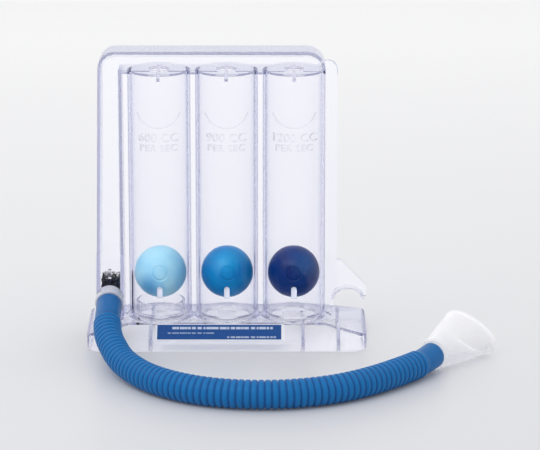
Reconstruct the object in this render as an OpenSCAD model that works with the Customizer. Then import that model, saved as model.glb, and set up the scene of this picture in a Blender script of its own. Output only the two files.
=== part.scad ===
// Breathing trainer with three floating balls, a corrugated hose and a mouthpiece.
// Millimetres, +Z up, front of the object towards -Y, origin under the middle chamber on the table.
// Two clear shells meet at the plane Y = 0 and trap the balls, their inlet discs and the filter.

/* [Balls] */
// Diameter of each ball
ball_d = 25.4; // [23:0.1:27]
// Radial gap between a ball and the bore of its chamber
ball_gap = 0.6; // [0.5:0.1:1]

/* [Chambers] */
// Wall of the round chambers
chamber_wall = 1.9; // [1.4:0.1:2.4]
// Clear space between two neighbouring chambers
chamber_space = 2.2; // [1:0.1:4]
// Height of a chamber from the deck of the base to its outer top
chamber_h = 122.9; // [100:0.1:140]
// Thickness of the plate that closes a chamber at its top
top_plate_t = 1.5; // [1:0.1:2]
// Diameter of the outlet hole in the top of each chamber
outlet_d = 10; // [6:0.5:10]
// Height of the top of the ball seats above the deck
seat_rise = 17; // [15:0.1:20]
// Width of a ball seat
seat_w = 2.6; // [1.5:0.1:3.5]
// Length of a ball seat from its top down
seat_l = 5.6; // [3:0.1:8]
// How far a ball seat stands into the chamber
seat_depth = 1.1; // [1:0.1:1.5]
// How far a ball stop hangs below the chamber's ceiling
stop_drop = 2.4; // [2:0.1:4]
// Width of a ball stop
stop_w = 1.6; // [1:0.1:3]

/* [Inlet discs] */
// Thickness of an inlet disc
disc_t = 1.9; // [1:0.1:2.5]
// Width of the ledge that carries an inlet disc
ledge_w = 2.3; // [1.5:0.1:3]
// Inlet hole of the left chamber, which lifts its ball first
inlet_left_d = 6; // [5:0.5:12]
// Inlet hole of the middle chamber
inlet_middle_d = 9; // [5:0.5:12]
// Inlet hole of the right chamber
inlet_right_d = 12; // [5:0.5:14]
// Height of the raised ring on the left inlet disc
ring_h = 5.6; // [3:0.1:5.8]
// Wall of the raised ring on the left inlet disc
ring_wall = 1.2; // [0.8:0.1:2]

/* [Base] */
// Depth of the base from front to back
base_w = 54; // [50:0.5:70]
// Height of the deck, where the chambers start
deck_h = 11.8; // [10:0.1:16]
// Height of the upright lip at the front and back of the base
lip_h = 4.8; // [3:0.1:7]
// Depth of the level part of the deck
deck_w = 33; // [31.5:0.5:40]
// Corner radius of the base seen from above
base_corner_r = 8.5; // [4:0.5:10]
// Length of a base wing past the flange
wing_l = 14.4; // [14:0.1:20]
// Height of a base wing where it starts
wing_root_h = 10.5; // [9:0.1:11.5]
// Height of a base wing at its tip
wing_tip_h = 7.7; // [6:0.1:9]
// Wall of the base and of the air duct
shell_wall = 1.6; // [1.2:0.1:2]
// Thickness of a rib under the base
rib_t = 1.5; // [1:0.1:3]
// Length of a rib inwards from the lip
rib_l = 17; // [8:0.5:20]
// Distance of a main rib from the centre of the base
rib_main_x = 37; // [34:0.5:42]
// Distance of an end rib from the centre of the base
rib_end_x = 54.2; // [50:0.1:58]

/* [Air duct] */
// Height of the air duct above the chambers
duct_h = 9.3; // [7:0.1:14]
// Front face of the air duct, measured from the joint between the shells
duct_front = 9; // [8:0.1:13]
// Rear face of the air duct, measured from the joint between the shells
duct_rear = 11.5; // [8:0.1:13]
// Radius of the duct's upper corner over the channel
duct_left_r = 8; // [5:0.5:10]
// Radius of the duct's upper corner at its closed end
duct_right_r = 9; // [5:0.5:9.5]
// Space between the left chamber and the air channel
channel_space = 2.5; // [1:0.1:5]
// Width of the air channel at its top
channel_top_w = 11.4; // [11:0.1:12]
// Width of the air channel at its foot
channel_foot_w = 13.7; // [13:0.1:15]

/* [Flange] */
// Thickness of the flange of one shell
flange_t = 1.4; // [1:0.1:2]
// How far the flange stands out beside the right chamber
flange_w = 5.8; // [4:0.1:8]
// How far the flange stands up above the chambers
flange_rise = 4; // [2:0.1:6]
// Corner radius of the flange
flange_r = 4.5; // [2:0.1:6]

/* [Hose clip] */
// Height of the clip's root above the table
clip_root_z = 41.4; // [38:0.1:50]
// Height of the shoulder at the clip's outer end
clip_shoulder_z = 28.6; // [28:0.1:32]
// Height of the clip's lower lip
clip_lip_z = 20.8; // [20:0.1:22]
// Radius of the notch that holds the hose
notch_r = 7.3; // [7:0.1:7.6]
// Height of the notch's centre
notch_z = 18.8; // [18:0.1:20]
// Depth of the rim round the notch
rim_l = 7; // [3:0.1:9]
// Thickness of the rim round the notch
rim_t = 1; // [0.8:0.1:1.2]
// How much wider the notch is in the rear shell, so that only the front one grips the hose
notch_relief = 0.7; // [0.3:0.1:1]

/* [Port] */
// Height of the port's axis where it leaves the air channel
port_z = 21.7; // [20:0.1:26]
// Downward tilt of the port in degrees
port_tilt = 11; // [0:0.5:11]
// Diameter of the port's collar
collar_d = 13.8; // [12:0.1:14]
// Length of the port's collar
collar_l = 6; // [4:0.1:8]
// Diameter of the spigot that the hose is pushed over
spigot_d = 8.8; // [8:0.1:9]
// Length of the spigot past the collar
spigot_l = 11; // [8:0.1:12]
// Wall of the spigot
spigot_wall = 1; // [0.8:0.1:1.5]

/* [Filter] */
// Height of the filter's top above the table
filter_top_z = 31.2; // [30:0.1:45]
// Height of the pin that holds the filter down
filter_pin_h = 4.2; // [3:0.1:7]
// Width of the pin that holds the filter down
filter_pin_w = 1.5; // [1:0.1:2.5]

/* [Hose] */
// Diameter over the hose's ribs
hose_d = 13.5; // [13:0.1:13.6]
// Depth of the valleys between the ribs
rib_valley = 0.75; // [0.4:0.05:1]
// Distance from one rib to the next
rib_pitch = 3.05; // [2.5:0.05:4]
// Diameter of the hose's smooth cuffs
cuff_d = 12.3; // [11.6:0.1:12.8]
// Length of the smooth cuff on the port
cuff_port_l = 20; // [14:0.5:24]
// Length of the smooth cuff at the mouthpiece
cuff_mouth_l = 14; // [13:0.5:20]
// Bore of the hose, corner to corner
hose_bore_d = 10; // [9.8:0.1:10.4]

/* [Mouthpiece] */
// Length of the mouthpiece past the hose
mouth_l = 36; // [30:0.5:50]
// Diameter of the mouthpiece at the hose
mouth_root_d = 15.2; // [14:0.1:16]
// Width of the oval lip
mouth_w = 29; // [24:0.5:30]
// Height of the oval lip
mouth_h = 15.2; // [12:0.1:15.5]
// How far the lip is rolled about the mouthpiece's axis in degrees
mouth_roll = 24; // [20:1:26]
// Wall of the mouthpiece
mouth_wall = 1.3; // [1:0.1:1.6]
// Height of the bead round the lip
mouth_bead = 0.5; // [0.3:0.1:0.8]
// Depth of the mouthpiece's spigot in the hose
mouth_spigot_l = 12; // [8:0.5:12]

/* [Label] */
// Length of the label on the front slope
label_l = 62.5; // [50:0.5:66]
// Height of the label along the slope
label_h = 10.3; // [8:0.1:10.5]
// Thickness of the label
label_t = 0.25; // [0.15:0.05:0.4]
// Distance of the label's middle to the left of the base's centre
label_left = 3; // [0:0.5:4]

/* [Hidden] */
$fn = 64;

// Fits and overruns
overrun = 1;
disc_gap = 0.15;
rest_gap = 0.3;
hole_gap = 0.05;
filter_gap = 0.3;
mouth_gap = 0.3;

// Chamber places
ball_r = ball_d / 2;
bore_r = ball_r + ball_gap;
chamber_r = bore_r + chamber_wall;
chamber_pitch = 2 * chamber_r + chamber_space;
CHAMBERS = [-chamber_pitch, 0, chamber_pitch];
ceiling_z = deck_h + chamber_h - top_plate_t;
chamber_top_z = deck_h + chamber_h;
seat_top_z = deck_h + seat_rise;
seat_reach = bore_r - seat_depth;
ball_z = seat_top_z + sqrt(pow(ball_r + rest_gap, 2) - pow(seat_reach, 2));
stop_reach = outlet_d / 2 + top_plate_t / 2;

// Base and flange places
flange_x = chamber_pitch + chamber_r + flange_w;
base_x = flange_x + wing_l;
base_y = base_w / 2;
deck_y = deck_w / 2;
slope = (deck_h - lip_h) / (base_y - deck_y);
slope_a = atan(slope);
flange_top_z = chamber_top_z + flange_rise;

// Air duct places
channel_in_x = -(chamber_pitch + chamber_r + channel_space);
channel_top_x = channel_in_x - channel_top_w;
channel_foot_x = channel_in_x - channel_foot_w;
duct_top_z = chamber_top_z + duct_h;
duct_end_x = chamber_pitch + chamber_r;
port_x = (channel_in_x + channel_foot_x) / 2;

// Clip places
notch_x = flange_x - flange_w / 3 + notch_r;

// Height of the base's top at a distance from its centre
function top_z(x) = lookup(abs(x), [[duct_end_x, deck_h], [flange_x, wing_root_h], [base_x, wing_tip_h]]);

// Hose route, from the port's collar to the mouthpiece, chosen by hand
ROUTE = [
    [-57.2, -15, 20.6], [-57.2, -24.8, 18.7], [-57.1, -34.6, 16.8], [-56.2, -45, 14.2],
    [-53.5, -55.5, 11.6], [-48, -69.5, 8.4], [-38, -86, 7], [-25.5, -100, 6.9],
    [-11, -109.5, 6.9], [5, -114.5, 6.9], [21, -115.5, 6.9], [35, -113.2, 6.9],
    [49, -108, 6.9], [63, -98.8, 6.9], [77, -85.3, 6.9], [90.7, -68.7, 6.9], [98.3, -57, 7.8]
];
HOSE_SIDES = 8;
FINE = 8;

function unit(v) = v / norm(v);

// A smooth curve through the route's points
function ends(i) = ROUTE[max(0, min(len(ROUTE) - 1, i))];
function curve(i, t) =
    let (a = ends(i - 1), b = ends(i), c = ends(i + 1), d = ends(i + 2))
    b + t * ((c - a) + t * ((2 * a - 5 * b + 4 * c - d) + t * (3 * b - a - 3 * c + d))) / 2;
LINE = [
    for (i = [0 : len(ROUTE) - 2], k = [0 : FINE - 1]) curve(i, k / FINE),
    ROUTE[len(ROUTE) - 1]
];
STEPS = [for (i = [0 : len(LINE) - 2]) norm(LINE[i + 1] - LINE[i])];
ALONG = [for (i = 0, s = 0; i < len(LINE); s = s + (i < len(STEPS) ? STEPS[i] : 0), i = i + 1) s];
hose_l = ALONG[len(ALONG) - 1];
function on_line(s) = [for (k = 0; k < 3; k = k + 1) lookup(s, [for (i = [0 : len(LINE) - 1]) [ALONG[i], LINE[i][k]]])];
function heading(s) = unit(on_line(min(hose_l, s + rib_pitch / 2)) - on_line(max(0, s - rib_pitch / 2)));

// One ring of points square to a direction
function ring(centre, direction, r, sides) =
    let (side = unit(cross(direction, [0, 0, 1])), up = cross(side, direction))
    [for (k = [0 : sides - 1]) let (a = 360 * k / sides) centre + r * (cos(a) * up + sin(a) * side)];

// Ribs: a crest ring and a valley ring each, between the two smooth cuffs
rib_count = floor((hose_l - cuff_port_l - cuff_mouth_l) / rib_pitch);
rib_step = (hose_l - cuff_port_l - cuff_mouth_l) / rib_count;
crest_r = hose_d / 2;
valley_r = crest_r - rib_valley;
cuff_r = cuff_d / 2;
crest_share = 0.25;
valley_share = 0.75;
STATIONS = [
    [0, cuff_r], [cuff_port_l, cuff_r],
    for (i = [0 : rib_count - 1], one = [[crest_share, crest_r], [valley_share, valley_r]])
        [cuff_port_l + (i + one[0]) * rib_step, one[1]],
    [hose_l - cuff_mouth_l, cuff_r], [hose_l, cuff_r]
];

// Mouthpiece frame, in line with the hose's end
mouth_foot = ROUTE[len(ROUTE) - 1];
mouth_dir = unit(mouth_foot - ROUTE[len(ROUTE) - 2]);
mouth_side = unit(cross(mouth_dir, [0, 0, 1]));
mouth_up = cross(mouth_side, mouth_dir);
MOUTH_SIDES = 32;
MOUTH_STEPS = 8;
oval_power_share = 0.87;
function sign_pow(v, p) = sign(v) * pow(abs(v), p);
function oval(t, w, h, square_share) = [
    for (k = [0 : MOUTH_SIDES - 1])
        let (
            a = 360 * k / MOUTH_SIDES,
            x = w / 2 * sign_pow(cos(a), square_share),
            y = h / 2 * sign_pow(sin(a), square_share),
            side = cos(mouth_roll) * x + sin(mouth_roll) * y,
            up = cos(mouth_roll) * y - sin(mouth_roll) * x
        )
        mouth_foot + (mouth_gap + t) * mouth_dir + side * mouth_side + up * mouth_up
];
function ease(s) = s * s * (3 - 2 * s);
function flare_w(s) = mouth_root_d + (mouth_w - mouth_root_d) * (s + ease(s)) / 2;
function flare_h(s) = mouth_root_d + (mouth_h - mouth_root_d) * s;
function flare_share(s) = 1 + (oval_power_share - 1) * s;

// Tube from closed rings, each joined to the next and the last to the first
module looped_rings(rings, sides) {
    n = len(rings);
    polyhedron(
        points = [for (one = rings, p = one) p],
        faces = [
            for (i = [0 : n - 1], k = [0 : sides - 1])
                let (
                    a = i * sides + k,
                    b = i * sides + (k + 1) % sides,
                    c = ((i + 1) % n) * sides + (k + 1) % sides,
                    d = ((i + 1) % n) * sides + k
                )
                each [[a, b, c], [a, c, d]]
        ]
    );
}

// A corner to take off an outline so that it ends in a round of radius r
module corner_off(r) {
    difference() {
        translate([-overrun, -overrun]) square(r + overrun);
        translate([r, r]) circle(r);
    }
}

// Everything in front of the joint between the shells, or behind it
module half_space(front) {
    reach_x = 2 * (base_x + channel_foot_w);
    reach_y = base_w + rim_l;
    reach_z = duct_top_z + duct_h;
    translate([-reach_x / 2, front ? -reach_y : 0, -overrun]) cube([reach_x, reach_y, reach_z + overrun]);
}

// Outline drawn in X and Z, made solid from one Y to another
module upright(from_y, to_y) {
    translate([0, to_y, 0]) rotate([90, 0, 0]) linear_extrude(to_y - from_y) children();
}

// Base: three outlines crossed, seen from the front, from the side and from above
module base_solid(inset, drop) {
    x = base_x - inset;
    y = base_y - inset;
    slant = inset / cos(slope_a);
    flat_y = deck_y - (slant - inset) / slope;
    low_z = lip_h - slant + inset * slope;
    intersection() {
        upright(-base_w, base_w) polygon([
            [-x, -drop], [x, -drop], [x, wing_tip_h - inset], [flange_x, wing_root_h - inset],
            [duct_end_x, deck_h - inset], [-duct_end_x, deck_h - inset],
            [-flange_x, wing_root_h - inset], [-x, wing_tip_h - inset]
        ]);
        rotate([90, 0, 90]) linear_extrude(2 * base_x + base_w, center = true) polygon([
            [-y, -drop], [y, -drop], [y, low_z], [flat_y, deck_h - inset],
            [-flat_y, deck_h - inset], [-y, low_z]
        ]);
        translate([0, 0, -base_w]) linear_extrude(3 * base_w) difference() {
            square([2 * x, 2 * y], center = true);
            for (side = [0, 1], end = [0, 1])
                mirror([side, 0]) mirror([0, end]) translate([-x, -y]) corner_off(base_corner_r - inset);
        }
    }
}

// Outline of the air duct: up the left side from the base's top and over the chambers
module duct_outline(inset) {
    outer_x = channel_foot_x + inset;
    inner_x = channel_in_x - inset;
    under_z = ceiling_z + (inset > 0 ? top_plate_t : 0);
    difference() {
        polygon([
            [outer_x, top_z(outer_x) - shell_wall + inset], [channel_top_x + inset, duct_top_z - inset],
            [duct_end_x - inset, duct_top_z - inset], [duct_end_x - inset, under_z], [inner_x, under_z],
            [inner_x, top_z(inner_x) - shell_wall + inset]
        ]);
        translate([channel_top_x + inset, duct_top_z - inset]) mirror([0, 1]) corner_off(duct_left_r - inset);
        translate([duct_end_x - inset, duct_top_z - inset]) rotate(180) corner_off(duct_right_r - inset);
    }
}

// Outline of the flange between and beside the chambers
module flange_outline() {
    foot_z = wing_root_h - shell_wall;
    difference() {
        translate([channel_in_x - overrun, foot_z])
            square([flange_x - channel_in_x + overrun, flange_top_z - foot_z]);
        translate([flange_x, flange_top_z]) rotate(180) corner_off(flange_r);
    }
}

// Outline of the hose clip beside the flange
module clip_outline() {
    step = flange_w / 3;
    polygon([
        [flange_x - step, clip_lip_z], [flange_x - step, clip_root_z], [flange_x, clip_root_z - step],
        [flange_x + step, clip_root_z - step], [base_x - step, clip_shoulder_z],
        [base_x, clip_shoulder_z - step], [base_x, clip_lip_z]
    ]);
}

// Room for the hose under the clip
module notch_outline(relief) {
    r = notch_r + relief;
    translate([notch_x, notch_z]) circle(r);
    translate([notch_x - r, wing_root_h]) square([3 * r, notch_z - wing_root_h]);
}

// Rim that stands forward round the top of the notch
module clip_rim() {
    intersection() {
        translate([notch_x, 0, notch_z]) rotate([90, 0, 0]) difference() {
            cylinder(r = notch_r + rim_t, h = rim_l);
            translate([0, 0, -overrun]) cylinder(r = notch_r, h = rim_l + 2 * overrun);
        }
        translate([notch_x - 2 * notch_r, -2 * rim_l, clip_lip_z]) cube([4 * notch_r, 3 * rim_l, 2 * notch_r]);
    }
}

// Seats and stops that keep one ball in its chamber, on the front wall
module ball_keepers() {
    root = chamber_wall / 2;
    translate([0, -seat_reach, seat_top_z - seat_w / 2])
        rotate([90, 0, 0]) cylinder(d = seat_w, h = seat_depth + root);
    translate([-seat_w / 2, -bore_r - root, seat_top_z - seat_l])
        cube([seat_w, seat_depth + root, seat_l - seat_w / 2]);
    translate([-stop_w / 2, -bore_r - root, ceiling_z - stop_drop])
        cube([stop_w, bore_r + root - stop_reach, stop_drop + top_plate_t / 2]);
}

// Ribs under the base, inwards from the front lip
module base_ribs() {
    for (x = [-rib_end_x, -rib_main_x, rib_main_x, rib_end_x])
        intersection() {
            base_solid(shell_wall / 2, 0);
            translate([x - rib_t / 2, -base_y, 0]) cube([rib_t, rib_l, deck_h]);
        }
}

// The hollow body before it is parted into its two shells
module hollow_body() {
    difference() {
        union() {
            base_solid(0, 0);
            upright(-duct_front, duct_rear) duct_outline(0);
            upright(-flange_t, flange_t) flange_outline();
            for (x = CHAMBERS)
                translate([x, 0, deck_h - shell_wall]) cylinder(r = chamber_r, h = chamber_top_z - deck_h + shell_wall);
        }
        base_solid(shell_wall, overrun);
        upright(-duct_front + shell_wall, duct_rear - shell_wall) duct_outline(shell_wall);
        for (x = CHAMBERS) {
            translate([x, 0, deck_h]) cylinder(r = bore_r, h = ceiling_z - deck_h);
            translate([x, 0, deck_h - shell_wall - overrun]) cylinder(r = bore_r - ledge_w, h = shell_wall + 2 * overrun);
            translate([x, 0, ceiling_z - overrun]) cylinder(d = outlet_d, h = top_plate_t + 2 * overrun);
        }
        upright(-base_y, 0) notch_outline(0);
        upright(0, base_y) notch_outline(notch_relief);
    }
}

// Tilted line of the port, with +Z of its children pointing out of the air channel
module on_port() {
    translate([port_x, -duct_front, port_z]) rotate([90 + port_tilt, 0, 0]) children();
}

module front_shell() {
    color("lavender", 0.5) difference() {
        union() {
            intersection() {
                hollow_body();
                half_space(true);
            }
            base_ribs();
            for (x = CHAMBERS) translate([x, 0, 0]) ball_keepers();
            upright(-flange_t, 0) difference() {
                clip_outline();
                notch_outline(0);
            }
            clip_rim();
            translate([port_x - filter_pin_w / 2, -duct_front + shell_wall / 2, filter_top_z + filter_gap])
                cube([filter_pin_w, shell_wall / 2 + 2 * filter_pin_w, filter_pin_h]);
        }
        on_port() translate([0, 0, -2 * shell_wall])
            cylinder(r = spigot_d / 2 + hole_gap, h = 3 * shell_wall);
    }
}

module rear_shell() {
    color("lavender", 0.5) union() {
        intersection() {
            hollow_body();
            half_space(false);
        }
        mirror([0, 1, 0]) base_ribs();
        for (x = CHAMBERS) translate([x, 0, 0]) mirror([0, 1, 0]) ball_keepers();
    }
}

module ball(x, shade) {
    color(shade) translate([x, 0, ball_z]) sphere(d = ball_d);
}

module inlet_disc(x, inlet_d, raised) {
    disc_r = bore_r - disc_gap;
    color("white", 0.6) translate([x, 0, deck_h]) difference() {
        union() {
            cylinder(r = disc_r, h = disc_t);
            if (raised) cylinder(r = disc_r - ring_wall, h = disc_t + ring_h);
        }
        translate([0, 0, -overrun]) cylinder(d = inlet_d, h = disc_t + 2 * overrun);
        if (raised) translate([0, 0, disc_t]) cylinder(r = disc_r - 2 * ring_wall, h = ring_h + overrun);
    }
}

// Block of open foam in the foot of the air channel, kept down by the pin over its front edge
module filter_foam() {
    color([0.13, 0.14, 0.2]) intersection() {
        upright(-duct_front + shell_wall + filter_gap, duct_rear - shell_wall - filter_gap)
            duct_outline(shell_wall + filter_gap);
        translate([channel_foot_x, -base_y, 0]) cube([channel_foot_w, base_w, filter_top_z]);
    }
}

// Hollow nipple through the channel's front wall, with a collar that the hose stops against
module port_nipple() {
    inner_y = -duct_front + shell_wall;
    color("white", 0.6) difference() {
        on_port() {
            translate([0, 0, -2 * shell_wall]) cylinder(d = spigot_d, h = 2 * shell_wall + collar_l + spigot_l);
            translate([0, 0, -shell_wall]) cylinder(d = collar_d, h = shell_wall + collar_l);
        }
        on_port() translate([0, 0, -3 * shell_wall])
            cylinder(d = spigot_d - 2 * spigot_wall, h = 4 * shell_wall + collar_l + spigot_l);
        translate([port_x - collar_d, inner_y, 0]) cube([2 * collar_d, base_y, 2 * port_z]);
        translate([port_x, -duct_front, port_z]) difference() {
            translate([-collar_d, 0, -collar_d]) cube([2 * collar_d, shell_wall, 2 * collar_d]);
            rotate([90 + port_tilt, 0, 0]) translate([0, 0, -collar_l]) cylinder(d = spigot_d, h = 2 * collar_l);
        }
    }
}

// Corrugated hose in one unbroken tube with its bore
module hose() {
    sides = HOSE_SIDES;
    outer = [for (one = STATIONS) ring(on_line(one[0]), heading(one[0]), one[1], sides)];
    inner = [
        for (i = [len(STATIONS) - 1 : -1 : 0])
            let (s = STATIONS[i][0]) ring(on_line(s), heading(s), hose_bore_d / 2, sides)
    ];
    color([0.17, 0.42, 0.69]) looped_rings(concat(outer, inner), sides);
}

// Flared mouthpiece with an oval beaded lip and a spigot in the hose's cuff
module mouthpiece() {
    spigot_in = spigot_d - 2 * spigot_wall;
    n = MOUTH_STEPS;
    bead_l = 2 * mouth_bead;
    rings = concat(
        [oval(-mouth_spigot_l, spigot_d, spigot_d, 1), oval(0, spigot_d, spigot_d, 1)],
        [
            for (i = [0 : n])
                let (s = i / n)
                oval(s * (mouth_l - 2 * bead_l), flare_w(s), flare_h(s), flare_share(s))
        ],
        [
            for (b = [[1, 1], [2, 1]])
                oval(
                    mouth_l - (2 - b[0]) * bead_l, mouth_w + 2 * mouth_bead * b[1],
                    mouth_h + 2 * mouth_bead * b[1], flare_share(1)
                )
        ],
        [
            for (i = [n : -1 : 0])
                let (s = i / n, t = mouth_wall + s * (mouth_l - mouth_wall))
                oval(t, flare_w(s) - 2 * mouth_wall, flare_h(s) - 2 * mouth_wall, flare_share(s))
        ],
        [oval(mouth_wall, spigot_in, spigot_in, 1), oval(-mouth_spigot_l, spigot_in, spigot_in, 1)]
    );
    color("white", 0.6) looped_rings(rings, MOUTH_SIDES);
}

// Thin printed label on the front slope of the base
module label() {
    slope_l = norm([base_y - deck_y, deck_h - lip_h]);
    color([0.17, 0.31, 0.57]) translate([-label_left, -base_y, lip_h]) rotate([slope_a, 0, 0])
        translate([-label_l / 2, (slope_l - label_h) / 2, 0]) cube([label_l, label_h, label_t]);
}

front_shell();
rear_shell();
ball(CHAMBERS[0], [0.55, 0.77, 0.9]);  // ball_left
ball(CHAMBERS[1], [0.12, 0.47, 0.73]);  // ball_middle
ball(CHAMBERS[2], [0.11, 0.2, 0.45]);  // ball_right
inlet_disc(CHAMBERS[0], inlet_left_d, true);  // inlet_disc_left
inlet_disc(CHAMBERS[1], inlet_middle_d, false);  // inlet_disc_middle
inlet_disc(CHAMBERS[2], inlet_right_d, false);  // inlet_disc_right
filter_foam();
port_nipple();
hose();
mouthpiece();
label();
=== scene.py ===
import bmesh
import bpy
import math
from mathutils import Matrix, Vector


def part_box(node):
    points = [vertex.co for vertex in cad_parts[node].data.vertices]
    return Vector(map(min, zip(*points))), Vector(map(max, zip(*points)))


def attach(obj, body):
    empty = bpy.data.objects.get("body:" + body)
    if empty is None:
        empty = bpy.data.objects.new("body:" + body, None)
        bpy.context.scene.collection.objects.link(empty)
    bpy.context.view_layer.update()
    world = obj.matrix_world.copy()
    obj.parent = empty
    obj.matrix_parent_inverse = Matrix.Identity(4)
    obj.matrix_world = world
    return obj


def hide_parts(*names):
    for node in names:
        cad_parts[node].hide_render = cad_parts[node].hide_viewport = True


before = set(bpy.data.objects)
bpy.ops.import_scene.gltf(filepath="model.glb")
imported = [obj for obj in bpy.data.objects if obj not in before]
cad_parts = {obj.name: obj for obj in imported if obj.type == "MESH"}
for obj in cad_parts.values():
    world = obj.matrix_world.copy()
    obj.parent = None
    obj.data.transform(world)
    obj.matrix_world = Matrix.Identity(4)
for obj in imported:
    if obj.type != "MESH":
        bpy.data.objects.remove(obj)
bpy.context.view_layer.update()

# View of the photograph
# A long lens about a metre and a half away looks a little down at the front of the trainer.
view_target = Vector((0.021, 0, 0.0566))
view_distance = 1.5
view_elevation = math.radians(14.6)
view_line = Vector((0, -math.cos(view_elevation), math.sin(view_elevation)))
camera_data = bpy.data.cameras.new("camera")
camera_data.sensor_width = 36
camera_data.lens = 204.9
camera = bpy.data.objects.new("camera", camera_data)
camera.location = view_target + view_distance * view_line
camera.rotation_euler = (-view_line).to_track_quat("-Z", "Y").to_euler()
bpy.context.scene.collection.objects.link(camera)
bpy.context.scene.camera = camera
bpy.context.scene.view_settings.view_transform = "Standard"

# Mouthpiece
# Soft milky plastic, moulded in one with a flared oval mouth, a bead round its lip and a spigot.
# The spigot is pushed into the far cuff of the hose.
# A painted highlight glows along its lip band and wherever it is seen edge on.
mouth_foot = Vector((0.0983, -0.057, 0.0078))
mouth_line = Vector((0.54361, 0.83687, 0.06437)).normalized()
mouth_roll = math.radians(24)
mouth_gap = 0.0003
mouth_l = 0.036
mouth_root_d = 0.0152
mouth_w = 0.029
mouth_h = 0.0152
mouth_bead = 0.0005
lip_band = 0.0026
mouth_square = 0.87
mouth_corner = 0.0003
spigot_l = 0.0118
spigot_d = 0.0088
spigot_wall = 0.001
mouth_sides = 32
mouth_edge_painted_highlight = 0.16
mouth_shade = 0.35
lip_painted_highlight = 0.05
lip_haze = 0.35
milky_tints = ((0.93, 0.93, 0.96), (0.98, 0.98, 1))
milky_passed = (0.975, 0.975, 0.985)


def alone(piece):
    """Selects one piece and nothing else."""
    bpy.ops.object.select_all(action="DESELECT")
    piece.select_set(True)
    bpy.context.view_layer.objects.active = piece


def applied(piece, kind, **settings):
    """Gives a piece a modifier with these settings and applies it."""
    alone(piece)
    change = piece.modifiers.new(kind.lower(), kind)
    for setting, value in settings.items():
        setattr(change, setting, value)
    bpy.ops.object.modifier_apply(modifier=change.name)


def smoothed(piece, degrees):
    """Shades a piece smooth apart from its sharp edges."""
    alone(piece)
    bpy.ops.object.shade_smooth_by_angle(angle=math.radians(degrees))


def bridged_ovals(name, stations, sides):
    """A tube from ovals of (height, width, depth), each bridged to the next."""
    bpy.ops.object.select_all(action="DESELECT")
    for i, (z, wide, deep) in enumerate(stations):
        bpy.ops.mesh.primitive_circle_add(vertices=sides, radius=wide / 2, location=(0, 0, z))
        if i == 0:
            bpy.ops.object.transform_apply(location=True)
            bpy.ops.object.mode_set(mode="EDIT")
            bpy.ops.mesh.select_all(action="SELECT")
        bpy.ops.transform.resize(value=(1, deep / wide, 1), center_override=(0, 0, z))
    bpy.ops.mesh.select_all(action="SELECT")
    bpy.ops.mesh.bridge_edge_loops()
    bpy.ops.mesh.normals_make_consistent(inside=False)
    bpy.ops.object.mode_set(mode="OBJECT")
    piece = bpy.context.object
    piece.name = name
    return piece


def moulded_surface():
    """The shared skin of moulded plastic: a fine grain to stand up and a slow mottle in its tone."""
    group = bpy.data.node_groups.new("moulded_surface", "ShaderNodeTree")
    for socket in ("Grain", "Mottle"):
        group.interface.new_socket(socket + " Scale", in_out="INPUT", socket_type="NodeSocketFloat")
        group.interface.new_socket(socket, in_out="OUTPUT", socket_type="NodeSocketFloat")
    taken = group.nodes.new("NodeGroupInput")
    given = group.nodes.new("NodeGroupOutput")
    place = group.nodes.new("ShaderNodeTexCoord")
    for socket, detail in (("Grain", 3.0), ("Mottle", 1.5)):
        noise = group.nodes.new("ShaderNodeTexNoise")
        noise.inputs["Detail"].default_value = detail
        group.links.new(place.outputs["Object"], noise.inputs["Vector"])
        group.links.new(taken.outputs[socket + " Scale"], noise.inputs["Scale"])
        group.links.new(noise.outputs["Fac"], given.inputs[socket])
    return group


surface_group = moulded_surface()


def new_plastic(name, grain_scale, mottle_scale, depth):
    """A material whose skin already has its grain; gives it with its shader and its mottle."""
    material = bpy.data.materials.new(name)
    material.use_nodes = True
    nodes = material.node_tree.nodes
    skin = nodes["Principled BSDF"]
    surface = nodes.new("ShaderNodeGroup")
    surface.node_tree = surface_group
    surface.inputs["Grain Scale"].default_value = grain_scale
    surface.inputs["Mottle Scale"].default_value = mottle_scale
    bump = nodes.new("ShaderNodeBump")
    bump.inputs["Strength"].default_value = 1
    bump.inputs["Distance"].default_value = depth
    material.node_tree.links.new(surface.outputs["Grain"], bump.inputs["Height"])
    material.node_tree.links.new(bump.outputs["Normal"], skin.inputs["Normal"])
    return material, skin, surface.outputs["Mottle"]


def blended(material, share, low, high):
    """A colour between two others, by the share that comes in."""
    mix = material.node_tree.nodes.new("ShaderNodeMix")
    mix.data_type = "RGBA"
    for socket, colour in (("A", low), ("B", high)):
        if isinstance(colour, tuple):
            mix.inputs[socket].default_value = (*colour, 1)
        else:
            material.node_tree.links.new(colour, mix.inputs[socket])
    material.node_tree.links.new(share, mix.inputs["Factor"])
    return mix.outputs["Result"]


def steered(material, value, low, high, to_low, to_high):
    """A value moved from one range to another."""
    span = material.node_tree.nodes.new("ShaderNodeMapRange")
    span.inputs["From Min"].default_value = low
    span.inputs["From Max"].default_value = high
    span.inputs["To Min"].default_value = to_low
    span.inputs["To Max"].default_value = to_high
    material.node_tree.links.new(value, span.inputs["Value"])
    return span.outputs["Result"]


def edge_on(material, blend):
    """How far the surface is turned from the eye, from 0 to 1."""
    turn = material.node_tree.nodes.new("ShaderNodeLayerWeight")
    turn.inputs["Blend"].default_value = blend
    return turn.outputs["Facing"]


def reckoned(material, kind, *values):
    """One step of arithmetic on values and plain numbers."""
    step = material.node_tree.nodes.new("ShaderNodeMath")
    step.operation = kind
    for i, value in enumerate(values):
        if isinstance(value, (int, float)):
            step.inputs[i].default_value = value
        else:
            material.node_tree.links.new(value, step.inputs[i])
    return step.outputs["Value"]


def passed(material, tint):
    """A bare way through a plastic, in the tint that it leaves."""
    through = material.node_tree.nodes.new("ShaderNodeBsdfTransparent")
    through.inputs["Color"].default_value = (*tint, 1)
    return through


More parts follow.
